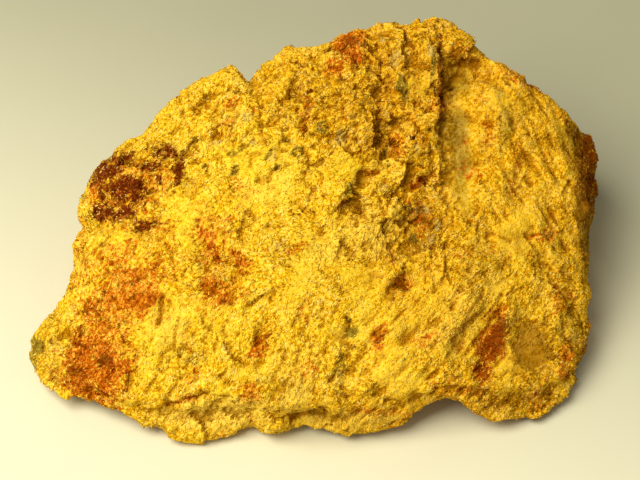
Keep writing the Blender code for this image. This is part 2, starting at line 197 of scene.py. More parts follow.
RUST = (
    ((-35.7, -19.3), (6.2, 6.9), 0, 0.95), ((-33.4, -13.2), (6.4, 4.8), -20, 0.74),
    ((-30.5, -7.0), (8.0, 7.0), 20, 0.6), ((-25.5, -2.5), (6.5, 5.0), 10, 0.3),
    ((-16.5, -1.0), (3.6, 6.0), 24, 0.42), ((-15.6, -7.6), (4.4, 3.4), 0, 0.42),
    ((-31.2, -9.4), (6.8, 4.4), 12, 0.80), ((-29.8, -5.2), (4.8, 2.1), 0, 0.75),
    ((-30.2, -8.6), (6.6, 4.6), 48, 0.78), ((-26.6, -8.8), (2.4, 3.4), 0, 0.85),
    ((-34.5, -13.0), (4.6, 3.4), 0, 0.7), ((-31.0, -16.5), (3.4, 4.2), 0, 0.5),
    ((-17.4, 0.0), (1.2, 4.6), 28, 0.85), ((-12.7, -2.7), (1.2, 3.2), 36, 0.8),
    ((-16.6, -7.2), (2.9, 2.4), 0, 0.7), ((-15.2, -9.2), (1.6, 1.0), 0, 0.8),
    ((4.6, 30.6), (2.9, 3.2), 20, 1.0), ((2.4, 27.2), (1.8, 2.2), 0, 0.75),
    ((6.6, 32.4), (1.2, 1.0), 0, 0.8), ((-1.8, 21.5), (1.0, 2.6), -12, 0.55),
    ((-2.5, 17.7), (0.9, 2.0), -14, 0.6), ((-9.3, -16.6), (1.5, 3.2), -36, 0.75),
    ((8.8, -14.6), (1.8, 2.5), -10, 0.8), ((26.7, -16.6), (2.3, 4.4), -26, 1.15),
    ((25.4, -20.0), (2.2, 2.2), 0, 0.9), ((28.2, -11.4), (1.8, 1.9), 0, 0.6),
    ((38.8, -18.4), (1.5, 4.4), -8, 0.65), ((37.6, -9.5), (1.4, 3.6), 0, 0.5),
    ((23.0, 30.2), (3.2, 1.7), -30, 0.3), ((31.0, 27.0), (3.0, 1.4), -34, 0.5),
    ((36.4, 24.3), (3.6, 0.9), -24, 0.5), ((15.4, 8.8), (1.7, 0.9), 20, 0.9),
    ((7.9, 10.6), (1.8, 0.6), 10, 0.5), ((15.0, 22.0), (0.8, 3.6), 0, 0.45),
    ((-36.0, 8.4), (1.0, 1.6), 0, 1.0), ((-14.0, 21.6), (1.5, 1.2), 0, 0.6),
    ((13.0, -6.6), (2.2, 1.3), 10, 0.4), ((43.9, 12.4), (3.0, 7.0), 0, 0.35),
    ((-24.5, -3.0), (4.0, 2.4), 20, 0.35), ((35.0, 0.4), (2.6, 1.2), -14, 0.5),
    ((-4.0, -1.4), (2.2, 0.8), 20, 0.55), ((-34.0, -1.8), (4.4, 1.4), 0, 0.45),
    ((-26.0, 2.4), (4.4, 2.0), 0, 0.5), ((-30.0, 8.0), (7.6, 6.4), 10, 0.55),
    ((-11.0, -23.6), (1.6, 2.0), -30, 0.6), ((12.0, 14.6), (1.6, 3.0), 0, 0.5),
    ((16.4, 3.2), (2.2, 3.0), 0, 0.4), ((-21.6, -24.9), (3.4, 0.8), 22, 0.6),
    ((-38.6, 1.0), (1.2, 2.6), 0, 0.4), ((-37.0, -4.4), (1.6, 2.2), 0, 0.5),
    ((22.0, -23.4), (5.0, 0.8), -8, 0.5), ((8.6, -26.6), (6.0, 0.9), -4, 0.5),
    ((-1.8, -20.2), (1.4, 1.6), 0, 0.45), ((-20.6, -15.2), (1.6, 2.6), 0, 0.3),
    ((27.2, -1.6), (2.0, 1.2), 0, 0.3), ((31.6, 13.2), (1.0, 2.6), 0, 0.4),
    ((30.6, 8.2), (0.9, 1.6), 0, 0.4),
)
# deep brown stains; the long slot beside the step is also painted shade
DEEP_AND_SHADE = (
    ((-38.0, -20.6), (1.6, 1.3), 0, 0.8), ((-33.4, -19.0), (1.7, 1.1), 0, 0.8),
    ((-37.6, -14.2), (1.0, 1.2), 0, 0.7), ((-36.9, -11.3), (1.0, 1.1), 0, 0.6),
    ((-26.3, -8.9), (0.9, 1.0), 0, 0.7), ((-34.4, 8.8), (1.2, 1.4), 0, 0.5),
    ((4.8, 31.8), (1.3, 1.3), 0, 0.8), ((7.1, 30.9), (0.8, 0.6), 0, 0.9),
    ((27.6, -15.6), (1.5, 3.6), -14, 1.0), ((24.9, -19.9), (1.3, 1.3), 0, 0.7),
    ((-28.6, -6.2), (3.2, 0.5), 22, 0.6), ((8.8, -15.0), (0.9, 1.4), 0, 0.5),
    ((4.7, -16.6), (0.7, 0.8), 0, 0.7), ((-15.9, -3.0), (0.4, 1.2), 20, 0.5),
    ((-15.0, -9.6), (1.5, 0.5), -10, 0.8), ((-19.0, 2.4), (0.6, 1.4), 24, 0.5),
    ((15.4, 8.6), (1.2, 0.4), 24, 0.9), ((7.8, 10.5), (1.4, 0.3), 10, 0.6),
    ((-8.2, -14.9), (1.2, 0.5), 40, 0.7), ((45.0, 11.0), (3.2, 9.0), 0, 0.72),
    ((41.0, 18.4), (1.4, 3.6), 28, 0.45), ((-2.4, 17.2), (0.4, 1.2), -14, 0.7),
    # the slot beside the step at u 19.3: deep brown, and painted shade
    ((23.4, -22.9), (3.6, 0.4), -9, 0.35), ((19.3, 24.0), (0.8, 7.6), 0, 0.95),
    ((22.4, 29.0), (2.4, 0.7), -14, 0.25), ((3.6, 5.4), (2.4, 0.5), 40, 0.8),
)
DARK = (
    ((-33.4, 11.4), (3.3, 2.7), 35, 1.0), ((-31.2, 8.2), (4.0, 2.5), -8, 1.0),
    ((-34.8, 8.8), (1.4, 1.6), 0, 0.7), ((-29.0, 7.9), (1.9, 2.1), 0, 1.0),
    ((-34.9, 4.4), (2.4, 1.8), 0, 1.05), ((-31.1, 4.1), (2.1, 1.2), 14, 1.0),
    ((-27.7, 2.2), (2.1, 1.4), 16, 0.95), ((-24.2, 13.9), (2.5, 1.3), -6, 1.1),
    ((-22.2, 11.2), (0.9, 2.7), -8, 1.05), ((-27.4, 11.7), (2.1, 1.2), 8, 0.95),
    ((-25.5, 9.7), (0.6, 0.9), 0, 1.1), ((-31.0, 13.0), (2.0, 1.0), 22, 0.95),
    ((-22.8, 8.4), (1.5, 0.7), 50, 0.6), ((-33.6, 6.4), (2.1, 1.6), 0, 0.75),
    ((-29.6, 5.6), (2.6, 0.7), 0, 0.5), ((-26.9, 14.6), (1.2, 0.5), 30, 0.7),
    ((-36.1, 10.0), (0.8, 1.7), -20, 0.8),
)
GANGUE = (
    ((3.3, 16.1), (1.0, 1.1), 0, 1.0), ((-10.8, 15.0), (0.9, 0.5), 30, 0.6),
    ((-16.4, 15.3), (1.3, 0.45), 8, 0.8), ((-7.4, 12.9), (0.5, 0.9), -40, 0.6),
    ((-11.6, 19.3), (1.0, 0.7), 0, 0.5), ((10.1, 31.9), (0.8, 0.8), 0, 0.8),
    ((17.6, 30.2), (0.6, 1.2), 0, 0.8), ((15.1, 14.6), (0.5, 1.2), 0, 0.7),
    ((16.1, 4.6), (1.3, 0.8), 0, 0.9), ((10.1, 8.6), (0.5, 1.2), -20, 0.6),
    ((18.5, 2.4), (0.8, 1.3), 10, 0.7), ((11.8, 28.4), (1.3, 1.8), -20, 0.5),
    ((-42.2, -16.6), (1.0, 1.4), 0, 0.3), ((0.1, 17.7), (0.5, 0.5), 0, 0.5),
    ((10.6, 19.6), (0.6, 0.6), 0, 0.6), ((17.6, 0.2), (0.6, 0.8), 0, 0.6),
    ((-23.4, -12.9), (0.4, 1.2), -20, 0.4), ((28.6, 23.0), (0.7, 1.6), -20, 0.4),
)
GREEN = (
    ((13.2, 24.2), (1.2, 2.6), 8, 0.9), ((-3.5, 13.8), (0.9, 0.8), 0, 0.3),
    ((-19.7, 15.9), (0.8, 0.7), 0, 0.9), ((-13.4, 11.0), (0.8, 1.3), -10, 0.9),
    ((-13.9, 13.6), (0.8, 0.5), 10, 0.8), ((-6.7, 11.4), (1.0, 0.4), 35, 0.8),
    ((-8.1, 13.4), (1.2, 0.4), 52, 0.8), ((-12.2, 14.6), (1.2, 0.5), 24, 0.6),
    ((4.7, -14.2), (1.4, 1.1), 0, 1.0), ((4.4, -12.6), (0.5, 1.2), 0, 0.8),
    ((14.7, 0.2), (1.0, 0.7), 0, 0.9), ((-44.8, -16.8), (1.4, 1.5), 0, 0.9),
    ((-37.8, 7.2), (0.6, 1.6), 0, 0.8), ((4.7, 8.0), (0.7, 1.2), -12, 0.7),
    ((21.0, 24.5), (0.5, 0.6), 0, 0.7), ((17.9, 27.6), (0.5, 2.4), 0, 0.7),
    ((2.8, -20.0), (0.9, 3.4), 0, 0.4), ((1.6, -17.6), (0.5, 0.8), 0, 0.4),
    ((13.0, -18.4), (0.5, 0.4), 0, 0.8), ((-5.2, 15.7), (0.9, 0.5), -40, 0.7),
    ((16.4, -1.4), (0.7, 0.7), 0, 0.6), ((41.6, -22.0), (1.6, 3.0), 0, 0.4),
    ((44.0, -1.0), (1.4, 8.0), 0, 0.5), ((-46.0, -20.0), (1.2, 3.0), 0, 0.8),
    ((10.4, 12.6), (0.8, 2.4), 0, 0.5), ((-1.2, -26.4), (1.4, 0.9), 0, 0.4),
    ((-19.2, -18.4), (1.8, 1.2), 0, 0.3), ((14.0, 4.6), (0.8, 1.6), 0, 0.5),
)
# pale patches of crust; under the ledge at the left they also stand in for light, as painted light
PALE_AND_PAINTED_LIGHT = (
    ((22.4, 15.0), (1.3, 6.5), 0, 0.35), ((-42.4, -18.2), (1.6, 4.2), 8, 0.3),
    ((-42.6, -15.2), (1.2, 1.2), 0, 0.2), ((-12.4, 19.2), (2.0, 1.4), 0, 0.5),
    # the first of these, under the ledge at the left, is pale crust brightened further as painted light
    ((-16.0, -27.2), (7.0, 2.8), 4, 1.0), ((4.0, -28.0), (9.0, 1.6), 0, 0.4),
    ((8.0, 1.5), (5.0, 4.0), 20, 0.4), ((0.8, -2.0), (3.4, 1.8), 12, 0.5),
    ((-8.0, 8.6), (4.6, 2.6), 20, 0.35), ((-23.0, -13.6), (2.4, 2.8), 0, 0.4),
    ((-3.0, -22.6), (3.0, 4.4), 0, 0.35), ((-38.4, -3.0), (1.4, 3.2), 0, 0.4),
    ((14.0, 30.0), (1.4, 1.6), 0, 0.3), ((22.0, -12.0), (8.0, 3.6), 42, 0.3),
)
# greenish-brown patches, and painted shade under the ledge, in the clefts, beside the steps and on the side
# turned from the light
OLIVE_AND_SHADE = (
    ((33.4, -16.6), (3.2, 5.6), 0, 1.0), ((33.6, -14.0), (2.2, 4.0), 0, 0.3),
    ((-43.6, -17.0), (2.2, 5.0), 0, 0.3), ((30.5, -25.4), (9.0, 2.6), 0, 0.55),
    ((43.8, 8.4), (3.4, 13.0), 0, 1.0), ((15.6, 2.6), (3.4, 6.4), 0, 0.7),
    ((8.0, -27.8), (10.0, 1.6), 0, 0.15), ((42.0, -19.0), (2.2, 6.0), 0, 0.7),
    ((9.4, 16.6), (1.4, 6.0), -8, 0.72), ((2.8, -21.4), (1.0, 4.4), 0, 0.4),
    ((-4.0, 26.0), (0.9, 1.5), -10, 0.55), ((12.6, -6.4), (2.0, 1.5), 0, 0.6),
    ((22.6, 29.4), (3.6, 1.4), 0, 0.7), ((20.6, 18.0), (1.0, 9.0), 0, 0.55),
    ((22.0, 26.0), (2.6, 3.0), 0, 0.3), ((6.0, 5.2), (1.6, 1.2), 30, 0.6),
    ((-1.8, 21.0), (0.9, 2.6), -12, 0.5), ((-11.2, -24.0), (1.6, 2.6), -30, 0.3),
    ((20.4, 25.6), (1.3, 3.4), 0, 0.6), ((12.0, -8.0), (2.4, 1.6), 0, 0.3),
    ((2.0, 22.5), (9.0, 8.0), 0, 0.36), ((11.0, 29.0), (6.0, 5.0), 0, 0.25),
    ((-16.0, 21.5), (7.0, 3.5), 20, 0.16), ((30.0, 20.0), (6.0, 6.0), 0, 0.22),
    ((13.0, -2.0), (5.0, 4.0), 0, 0.3), ((-4.0, -29.4), (5.0, 0.9), 0, 0.3),
    ((-32.0, -26.0), (7.0, 0.9), 12, 0.3), ((40.0, -8.0), (1.4, 6.0), 0, 0.5),
    ((37.5, 24.0), (7.0, 1.1), -26, 0.7),
)
SAGE = (
    ((22.4, 13.6), (1.9, 8.5), 0, 0.95), ((29.6, 17.8), (1.3, 4.4), -12, 0.6),
    ((23.4, 25.2), (0.8, 2.6), 0, 0.6), ((24.6, -3.4), (2.0, 3.6), -20, 0.35),
    ((18.2, 28.6), (0.6, 2.4), 0, 0.6), ((0.2, 11.0), (2.4, 1.4), 30, 0.2),
    ((-5.0, -2.0), (5.0, 2.4), 20, 0.25), ((-21.0, -16.0), (3.0, 4.0), 0, 0.3),
    ((-6.0, -23.0), (4.0, 3.0), 0, 0.3), ((37.6, -1.6), (1.4, 1.6), 0, 0.4),
    ((40.4, -14.6), (1.0, 2.4), 0, 0.6), ((17.4, 16.0), (1.0, 2.4), 0, 0.4),
)

# Fine cracks and creases on the broad face: start, end, depth, half width
CREASES = (
    ((-24.4, -9.0), (-25.2, -12.6), 0.7, 0.45), ((-10.5, -10.0), (-9.0, -9.0), 0.55, 0.3),
    ((-9.0, -9.0), (-7.1, -8.2), 0.35, 0.28), ((1.9, 4.4), (5.4, 6.6), 0.4, 0.4),
    ((5.8, 7.6), (6.3, 10.0), 0.3, 0.5), ((10.6, -7.2), (13.6, -7.3), 0.5, 0.5),
    ((19.6, 28.0), (25.0, 28.2), 0.35, 0.5), ((19.1, 26.5), (19.0, 21.0), 0.7, 0.4),
    ((14.6, -24.0), (24.5, -12.5), 0.35, 0.7), ((9.5, -24.0), (15.4, -17.6), 0.3, 0.7),
    ((-4.4, -27.6), (0.6, -27.4), 0.8, 0.6), ((-20.0, -25.0), (-14.0, -24.4), 0.5, 0.5),
    ((26.5, 1.0), (30.2, 0.2), 0.5, 0.35), ((32.0, 0.8), (37.0, 0.4), 0.2, 0.35),
    ((-21.8, -12.0), (-22.6, -17.0), 0.45, 0.4), ((-18.4, -11.5), (-16.4, -16.0), 0.2, 0.4),
    ((24.8, -21.5), (28.6, -21.0), 0.25, 0.5), ((15.8, 6.4), (17.8, 9.0), 0.7, 0.6),
    ((19.4, 31.0), (19.6, 17.0), 1.1, 0.5), ((19.8, 29.6), (25.4, 28.4), 0.35, 0.5),
    ((14.2, 8.2), (16.8, 9.4), 0.5, 0.5), ((6.6, 10.7), (9.4, 10.6), 0.5, 0.4),
    ((2.9, -17.6), (2.9, -25.6), -0.8, 1.2), ((29.8, -20.5), (30.4, -15.5), 0.4, 1.3),
    ((-1.4, 22.0), (-2.6, 16.6), 0.4, 0.7), ((18.0, -22.6), (27.0, -23.8), 0.45, 0.5),
    ((-23.8, -25.9), (-17.2, -23.8), 0.7, 0.6),
)

# Each kind of patch: its places, the seed of its ragged edge, and how ragged that edge is
PATCHES = {
    "rust": (RUST, 3, 0.5),
    "deep": (DEEP_AND_SHADE, 4, 0.5),
    "dark": (DARK, 5, 0.35),
    "gangue": (GANGUE, 7, 0.35),
    "green": (GREEN, 8, 0.25),
    "pale": (PALE_AND_PAINTED_LIGHT, 9, 0.5),
    "olive_and_shade": (OLIVE_AND_SHADE, 11, 0.5),
    "sage": (SAGE, 12, 0.5),
}

# The same kinds on the sides that the face hides, by chance: strength, size, seed, gain and shift
HIDDEN_PATCHES = {
    "rust": (0.85, 13.0, 2, 1.6, -0.25),
    "deep": (0.6, 4.0, 4, 3.0, -2.0),
    "dark": (0.95, 9.0, 6, 3.0, -2.1),
    "gangue": (0.7, 3.6, 8, 4.0, -3.2),
    "green": (0.7, 4.4, 7, 3.0, -2.0),
    "pale": (0.5, 12.0, 10, 2.0, -0.9),
    "olive_and_shade": (0.7, 16.0, 12, 1.6, -0.1),
    "sage": (0.6, 11.0, 13, 1.6, -0.4),
}
SPECKLED = ("rust", "deep", "dark", "gangue", "green", "olive_and_shade")  # the kinds that end in speckles
RINGS = (((-3.5, 13.8), 0.75), ((0.3, 17.7), 0.7))  # small ring-shaped marks: centre and radius
RING_WIDTH = 0.22


def patched(points, kind):
    """How strongly a kind of patch shows at each point, with soft and ragged edges."""
    patches, seed, ragged = PATCHES[kind]
    edge = ragged * (0.7 * soft_noise(points, 2.6, seed) + 0.6 * soft_noise(points, 0.9, seed + 1))
    shown = np.zeros(len(points))
    for centre, half_sizes, turn, strength in patches:
        inside = 1.0 - oval(points, centre, half_sizes, turn)
        shown = np.maximum(shown, strength * eased((inside + edge + 0.35) / 0.9))
    return shown


def powdery(points):
    """Where the crust is soft, even powder instead of crystals."""
    return eased(layered_noise(points, 6.5, 15) * 1.6 - 0.25)


def ochre_and_shade_cast(points, back):
    """Where the yellow is duller and browner: partly its own colour, partly painted shade towards the right
    and at the top; also low on the right, and behind.
    """
    u, v = points[:, 0], points[:, 1]
    # painted shade: darker towards the right and at the top, as the light falls
    right = 0.62 * eased((u + 12.0) / 36.0)
    top = 0.45 * eased((v - 8.0) / 14.0) * eased((u + 14.0) / 12.0)
    low = 0.15 * (eased((-17.0 - v) / 12.0) * eased((u + 4.0) / 10.0))
    clouds = 0.26 * layered_noise(points, 7.0, 13)
    return np.clip(0.10 + right + top + clouds + low + 0.25 * back, 0.0, 1.0)


def stains(points, facing):
    """The masks that colour the lump, some partly painted shade and light: by place on the broad face, and by
    chance on the other sides.
    """
    front = eased((facing + 0.15) / 0.35)
    back = 1.0 - front
    masks = {kind: patched(points, kind) for kind in PATCHES}
    for centre, radius in RINGS:
        away = np.hypot(points[:, 0] - centre[0], points[:, 1] - centre[1])
        ring = 1.1 * np.exp(-((away - radius) / RING_WIDTH) ** 2)
        masks["green"] = np.maximum(masks["green"], ring)
    strewn = 0.42 * eased(layered_noise(points, 3.2, 27) * 1.8 - 0.75)
    masks["rust"] = np.maximum(masks["rust"], strewn)
    masks["deep"] = np.maximum(masks["deep"], 0.24 * masks["rust"])
    masks["dark"] = masks["dark"] * (0.90 + 0.35 * soft_noise(points, 1.1, 29))
    for kind, (strength, size, seed, gain, shift) in HIDDEN_PATCHES.items():
        chance = strength * eased(layered_noise(points, size, seed) * gain + shift)
        masks[kind] = masks[kind] * front + chance * back
    masks["ochre_and_shade"] = ochre_and_shade_cast(points, back)
    masks["powder"] = powdery(points)
    return masks


def speckled(masks, rng):
    """Lets each crystal or point choose whether it wears a stain, so that stains end in speckles."""
    for kind in SPECKLED:
        chance = rng.uniform(0.0, 1.0, len(masks[kind]))
        masks[kind] = eased((1.3 * masks[kind] - 0.15 - chance) / 0.4 + 0.5)
    return masks


# The skin: the lump's own surface, remeshed finely and given its relief

def skin_mesh():
    """Copies the lump's surface and spreads fine, even cells over it."""
    holder = bpy.data.objects.new("skin_source", bpy.data.objects[NODE].data.copy())
    bpy.context.scene.collection.objects.link(holder)
    work = bmesh.new()
    work.from_mesh(holder.data)
    work.transform(bpy.data.objects[NODE].matrix_world)
    bmesh.ops.remove_doubles(work, verts=work.verts, dist=1e-6)
    work.to_mesh(holder.data)
    work.free()
    remesh = holder.modifiers.new("cells", "REMESH")
    remesh.mode = "VOXEL"
    remesh.voxel_size = SKIN_CELL * MM
    made = holder.evaluated_get(bpy.context.evaluated_depsgraph_get())
    fine = bpy.data.meshes.new_from_object(made)
    bpy.data.objects.remove(holder, do_unlink=True)
    return fine


def read_array(items, field, width):
    """One field of many mesh items, as rows."""
    values = np.empty(len(items) * width)
    items.foreach_get(field, values)
    return values.reshape(-1, width)


def read_numbers(items, field, width):
    """One field of many mesh items that holds whole numbers, as rows."""
    values = np.empty(len(items) * width, dtype=np.int64)
    items.foreach_get(field, values)
    return values.reshape(-1, width)


def neighbours_mean(values, edges, count):
    """Each point's average over the points that it shares an edge with."""
    ends = np.concatenate([edges, edges[:, ::-1]])
    number = np.bincount(ends[:, 0], minlength=count)
    sums = [np.bincount(ends[:, 0], weights=part[ends[:, 1]], minlength=count) for part in values.T]
    return np.stack(sums, axis=1) / np.maximum(number, 1)[:, None]


# The way the crust's grain runs in each zone, in degrees
GRAIN_WAYS = {"trough": 88.0, "flank": -62.0, "ribs": 46.0, "fan": 66.0}

# Fibres and grooves in each of these zones: length and width of one, height and the noise's seed
FIBRES = {
    "flank": (7.0, 1.4, 0.55, 16),
    "ribs": (6.5, 1.1, 0.40, 17),
    "fan": (5.5, 0.9, 0.26, 18),
    "trough": (8.0, 0.9, 0.14, 19),
}

# Broken planes all over: their size, the seed and how steeply they tilt
BROKEN_PLANES = ((4.4, 21, 0.18), (2.1, 23, 0.19), (1.15, 28, 0.18))


def zones(points, facing):
    """Where the broad face's crust has a grain of its own, and how strongly."""
    front = eased((facing - 0.1) / 0.3)
    u, v = points[:, 0], points[:, 1]
    return {
        "trough": front * eased(1.5 - oval(points, (22.6, 15.5), (3.2, 11.0))),
        "flank": front * eased((u - 24.5) / 4.0) * eased((v + 8.0) / 8.0),
        "ribs": front * eased(u / 5.0) * eased((-5.0 - v) / 6.0) * (1.0 - eased((u - 29.0) / 4.0)),
        "fan": front * eased((u + 29.0) / 3.0) * (1.0 - eased((u - 1.0) / 3.0)) * eased((-6.0 - v) / 4.0),
        "knobbly": front * eased((u - 2.0) / 5.0) * (1.0 - eased((u - 19.0) / 2.0)) * eased((v + 9.0) / 6.0),
        "smooth": front * eased(1.4 - oval(points, (33.2, -16.5), (3.0, 6.0))),
        "upper": front * eased((v - 8.0) / 6.0) * (1.0 - eased((u - 17.0) / 3.0)),
        "even": front * eased(1.4 - oval(points, (-1.0, -7.0), (16.0, 11.0))),
        "band": front * eased(1.4 - oval(points, (16.4, 26.5), (2.0, 6.0))),
    }


def broken_relief(points, zone, powder, worn):
    """Broken planes and crumbs, calmer where the crust is powdery or worn and rougher where it is knobbly."""
    height = 0.0
    for size, seed, tilt in BROKEN_PLANES:
        height = height + facets(points, size, seed, tilt)
    height = height + 0.17 * (0.55 - crumbs(points, 1.5, 25)[0]) + 0.15 * soft_noise(points, 2.8, 14)
    calm = 0.6 * powder + 0.45 * zone["flank"] + 0.25 * zone["ribs"] + 0.4 * zone["even"]
    calm = np.clip(calm + 0.6 * zone["band"], 0.0, 0.78)
    rough = 0.74 + 0.80 * zone["knobbly"] + 0.40 * zone["upper"]
    return height * rough * (1.0 - 0.85 * worn) * (1.0 - calm)


def fibre_relief(points, zone):
    """Fibres and grooves that follow the grain of their zone."""
    height = 0.0
    for name, (long_way, short_way, strength, seed) in FIBRES.items():
        laid = stretched(points, GRAIN_WAYS[name], long_way, short_way)
        fibres = 1.0 - np.abs(layered_noise(laid, 1.0, seed, 2))
        height = height + strength * zone[name] * (fibres - 0.6)
    return height


def crease_depth(points):
    """The cracks and creases, none of them quite straight."""
    crooked = points.copy()
    crooked[:, 0] += 0.6 * soft_noise(points, 1.6, 20)
    crooked[:, 1] += 0.6 * soft_noise(points, 1.6, 22)
    depth = 0.0
    for start, end, deepest, half_width in CREASES:
        depth = depth + deepest * np.exp(-(stretch_away(crooked, start, end) / half_width) ** 2)
    return depth


def pit_depth(points):
    """Small round pits: one crumb in seven is missing."""
    away, number = crumbs(points, 2.1, 31)
    return 0.4 * (number < 0.14) * eased(1.0 - away / 0.42)


def relief(points, facing):
    """How far the skin stands out or sinks at each point, in millimetres."""
    front = eased((facing - 0.1) / 0.3)
    zone = zones(points, facing)
    worn = np.clip(zone["trough"] + 0.55 * zone["smooth"], 0.0, 1.0)
    height = broken_relief(points, zone, powdery(points) * front, worn) + fibre_relief(points, zone)
    height = height - front * crease_depth(points) - (1.0 - worn) * pit_depth(points)
    height = height - 0.25 * patched(points, "green") * front
    knobs = patched(points, "dark") * front
    return height + knobs * (0.6 * (0.5 - crumbs(points, 1.3, 37)[0]) + 0.25)


def set_attributes(mesh, values):
    """Stores each named mask on the mesh's points."""
    for name, value in values.items():
        layer = mesh.attributes.new(name, "FLOAT", "POINT")
        layer.data.foreach_set("value", np.ascontiguousarray(value, dtype=np.float32))


def linked(name, data):
    """Puts a mesh, a light or a camera in the scene as an object."""
    obj = bpy.data.objects.new(name, data)
    bpy.context.scene.collection.objects.link(obj)
    return obj


def inside_box(points):
    """Holds points, in millimetres, inside the solid's own box."""
    low, high = (np.array(corner) / MM for corner in CAD_BOX)
    return np.clip(points, low, high)


def hollow_depth(points, normals, edges):
    """How far each point lies below the surface around it, at two widths together; this depth is painted into
    the colour as shade in hollows.
    """
    smooth, hollow = points, 0.0
    for width in range(1, max(HOLLOW_SHADE_WIDTHS) + 1):
        smooth = neighbours_mean(smooth, edges, len(points))
        if width in HOLLOW_SHADE_WIDTHS:
            hollow = hollow + np.sum((smooth - points) * normals, axis=1) * HOLLOW_SHADE_WIDTHS[width]
    return hollow


def make_skin():
    """The visible surface: the solid's form, with relief down to half a millimetre."""
    mesh = skin_mesh()
    points = read_array(mesh.vertices, "co", 3) / MM
    edges = read_numbers(mesh.edges, "vertices", 2)
    for smoothing in range(SMOOTHING_ROUNDS):
        points = 0.5 * points + 0.5 * neighbours_mean(points, edges, len(points))
    mesh.vertices.foreach_set("co", (points * MM).ravel())
    mesh.update()
    normals = read_array(mesh.vertex_normals, "vector", 3)
    face, facing = face_coordinates(points), facing_of(normals)
    height = relief(face, facing) * eased(points[:, 2] / FOOT_FADE)
    points = points + normals * (height - SKIN_SUNK)[:, None]
    bowl = zones(face, facing)["smooth"]
    masks = speckled(stains(face, facing), np.random.default_rng(SEED + 9))
    # painted shade: how deep each point lies in hollows, stored to darken the colour there, less in the
    # smooth bowl
    masks["hollow"] = np.clip(0.5 + hollow_depth(points, normals, edges) * (1.0 - 0.7 * bowl), 0.0, 1.0)
    mesh.vertices.foreach_set("co", (inside_box(points) * MM).ravel())
    mesh.update()
    set_attributes(mesh, masks)
    return linked("crust_skin", mesh)


# The crystals: many small closed ones, each bedded in the skin, with two tips and a three-sided waist

CRYSTAL_FACES = np.array([[1, 3, 2], [1, 4, 3], [1, 2, 4], [0, 2, 3], [0, 3, 4], [0, 4, 2]])
CRYSTAL_POINTS = 5


def crowding(face, facing):
    """Crystals crowd the broad face, and thin out behind it and on what it stands on."""
    zone = zones(face, facing)
    bare = 0.4 * zone["trough"] + 0.1 * zone["smooth"] + 0.1 * powdery(face)
    return (0.35 + 0.65 * eased((facing + 0.2) / 0.4)) * np.clip(1.0 - bare, 0.2, 1.0)


def scattered(skin, count, rng):
    """Picks places on the skin: where each is, which way is outward there, and a corner of its triangle."""
    skin.calc_loop_triangles()
    corners = read_numbers(skin.loop_triangles, "vertices", 3)
    points = read_array(skin.vertices, "co", 3) / MM
    a, b, c = (points[corners[:, k]] for k in range(3))
    cross = np.cross(b - a, c - a)
    area = 0.5 * np.linalg.norm(cross, axis=1)
    normal = cross / np.maximum(2.0 * area, 1e-9)[:, None]
    weight = area * crowding(face_coordinates((a + b + c) / 3.0), facing_of(normal))
    chosen = rng.choice(len(corners), size=count, p=weight / weight.sum())
    mixed = rng.dirichlet((1.0, 1.0, 1.0), size=count)
    spot = a[chosen] * mixed[:, :1] + b[chosen] * mixed[:, 1:2] + c[chosen] * mixed[:, 2:]
    return spot, normal[chosen], corners[chosen, 0]


def unit(vectors):
    """The same directions, each one long."""
    return vectors / np.maximum(np.linalg.norm(vectors, axis=1), 1e-6)[:, None]


def square_to(vectors, axis):
    """What is left of the vectors once their part along the axis is taken away, each one long."""
    return unit(vectors - axis * np.sum(axis * vectors, axis=1)[:, None])


def crystal_axes(face, outward, zone, rng):
    """The long, side and short axis of each crystal, which lies in swirls that follow the crust's grain."""
    swirl = 150.0 * layered_noise(face, 7.0, 33, 2)
    for name, way in GRAIN_WAYS.items():
        swirl = swirl + (way - swirl) * zone[name]
    way = np.radians(swirl + rng.normal(0.0, 28.0, len(face)))
    along = np.stack([np.cos(way), np.sin(way) * OUT_W, np.sin(way) * UP_V], axis=1)
    tilt = np.clip(rng.normal(0.16, 0.28, len(face)), -0.3, 0.6)[:, None]
    long_axis = square_to(along, outward) * np.cos(tilt) + outward * np.sin(tilt)
    short_axis = square_to(outward, long_axis)
    return long_axis, np.cross(long_axis, short_axis), short_axis


def crystal_points(centre, axes, length, width, thick, rng):
    """The two tips and the three waist points of each crystal."""
    count = len(centre)
    long_axis, side_axis, short_axis = axes
    upper_tip = centre + long_axis * length * rng.uniform(0.35, 0.6, count)[:, None]
    corners = [centre - long_axis * length * 0.5, upper_tip]
    start = rng.uniform(0.0, 2.0 * math.pi, count)
    for corner in range(3):
        angle = (start + corner * 2.0 * math.pi / 3.0 + rng.uniform(-0.35, 0.35, count))[:, None]
        shift = long_axis * length * rng.uniform(-0.15, 0.15, count)[:, None]
        sideways = side_axis * width * np.cos(angle) * 0.6 + short_axis * thick * np.sin(angle) * 0.6
        corners.append(centre + sideways + shift)
    return inside_box(np.stack(corners, axis=1))


def bake_layout(mesh, triangle_count):
    """Gives each pair of triangles a small square of its own, for the look's surface maps."""
    side = math.ceil(math.sqrt(math.ceil(triangle_count / 2.0)))
    index = np.arange(triangle_count)
    pair, second = index // 2, (index % 2).astype(bool)
    corner = np.stack([pair % side, pair // side], axis=1) / side
    low, high, gap = 0.12, 0.88, 0.06
    first_half = np.array([[low, low], [high - gap, low], [low, high - gap]])
    second_half = np.array([[high, high], [low + gap, high], [high, low + gap]])
    shape = np.where(second[:, None, None], second_half, first_half)
    layer = mesh.uv_layers.new(name="OFBake")
    layer.data.foreach_set("uv", (corner[:, None, :] + shape / side).ravel())


